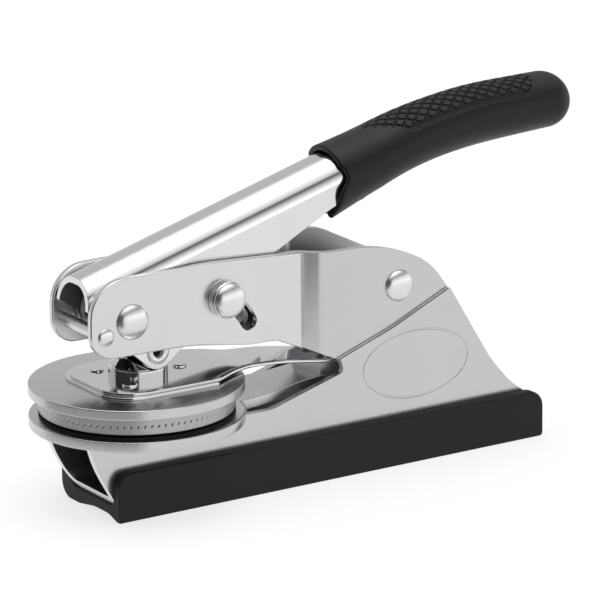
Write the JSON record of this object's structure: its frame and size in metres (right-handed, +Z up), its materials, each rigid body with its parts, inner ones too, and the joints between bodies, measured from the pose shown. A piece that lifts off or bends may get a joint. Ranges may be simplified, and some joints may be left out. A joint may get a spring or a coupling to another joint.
{
  "type": "seal embosser",
  "caption": "Desk press that embosses a round seal: a lever with a dark grip pushes a roller onto the upper of two round die plates, on a bright folded frame in a rubber shoe.",
  "frame": {"origin": "on the desk, under the middle of the machine's overall box", "axes": "+X from the die plates to the end of the grip, +Y to the far side across the frame, +Z up from the desk"},
  "size_m": [0.1626, 0.056, 0.0966],
  "materials": {
    "rubber_black": "matte",
    "nickel_plated": "satin",
    "nickel_bright": "polished",
    "plain_steel": "brushed",
    "die_steel": "fine turned",
    "die_dark": "matte",
    "spring_steel": "satin",
    "grip_black": "matte, knurled on top"
  },
  "bodies": {
    "root": {"base_shoe": "rubber_black", "press_frame": "nickel_plated", "shoe_rivets": "nickel_bright", "seat_block": "plain_steel", "lower_die_plate": "nickel_bright", "plate_rivets": "nickel_bright", "counter_die": "die_dark", "leaf_spring": "spring_steel", "leaf_clamp_block": "plain_steel", "clamp_rivets": "nickel_bright", "near_link_plate": "nickel_plated", "far_link_plate": "nickel_plated", "link_spacers": "plain_steel", "pivot_rivet": "nickel_bright", "pivot_bush": "plain_steel", "pivot_washers": "nickel_bright", "stop_bar": "nickel_bright", "stop_sleeve": "nickel_bright", "rear_rivet": "nickel_bright", "rear_spacer": "plain_steel", "return_spring": "spring_steel"},
    "handle": {"handle_channel": "nickel_bright", "roller_pin": "nickel_bright", "grip": "grip_black"},
    "roller_body": {"roller": "plain_steel"},
    "upper_die_body": {"upper_die": "die_steel", "upper_die_plate": "nickel_bright", "lower_strip": "nickel_bright", "upper_strip": "nickel_bright", "strip_rivets": "nickel_bright", "button_stud": "plain_steel", "pressure_button": "nickel_bright"},
    "stop_stud_body": {"stop_stud": "nickel_bright", "stud_collars": "nickel_bright"}
  },
  "joints": [
    {"name": "handle_hinge", "type": "hinge", "parent": "root", "child": "handle", "pos_m": [-0.06045, 0, 0.0515], "axis": [0, 1, 0], "range_deg": [-14, 4.75], "stiffness_Nm_per_rad": 1, "springref_deg": -3.44, "deforming": ["return_spring"]},
    {"name": "press_slide", "type": "slide", "parent": "root", "child": "upper_die_body", "axis": [0, 0, -1], "range_m": [-0.00221, 0.00075], "deforming": ["leaf_spring"]},
    {"name": "roller_spin", "type": "hinge", "parent": "handle", "child": "roller_body", "pos_m": [-0.05145, 0, 0.0414], "axis": [0, 1, 0], "continuous": true},
    {"name": "stud_slide", "type": "hinge", "parent": "root", "child": "stop_stud_body", "pos_m": [-0.04225, 0, 0.0368], "axis": [0, 1, 0], "range_deg": [-3.4, 31.2]}
  ],
  "couplings": [
    {"joint": "press_slide", "follows": "handle_hinge", "m_per_rad": 0.009}
  ]
}
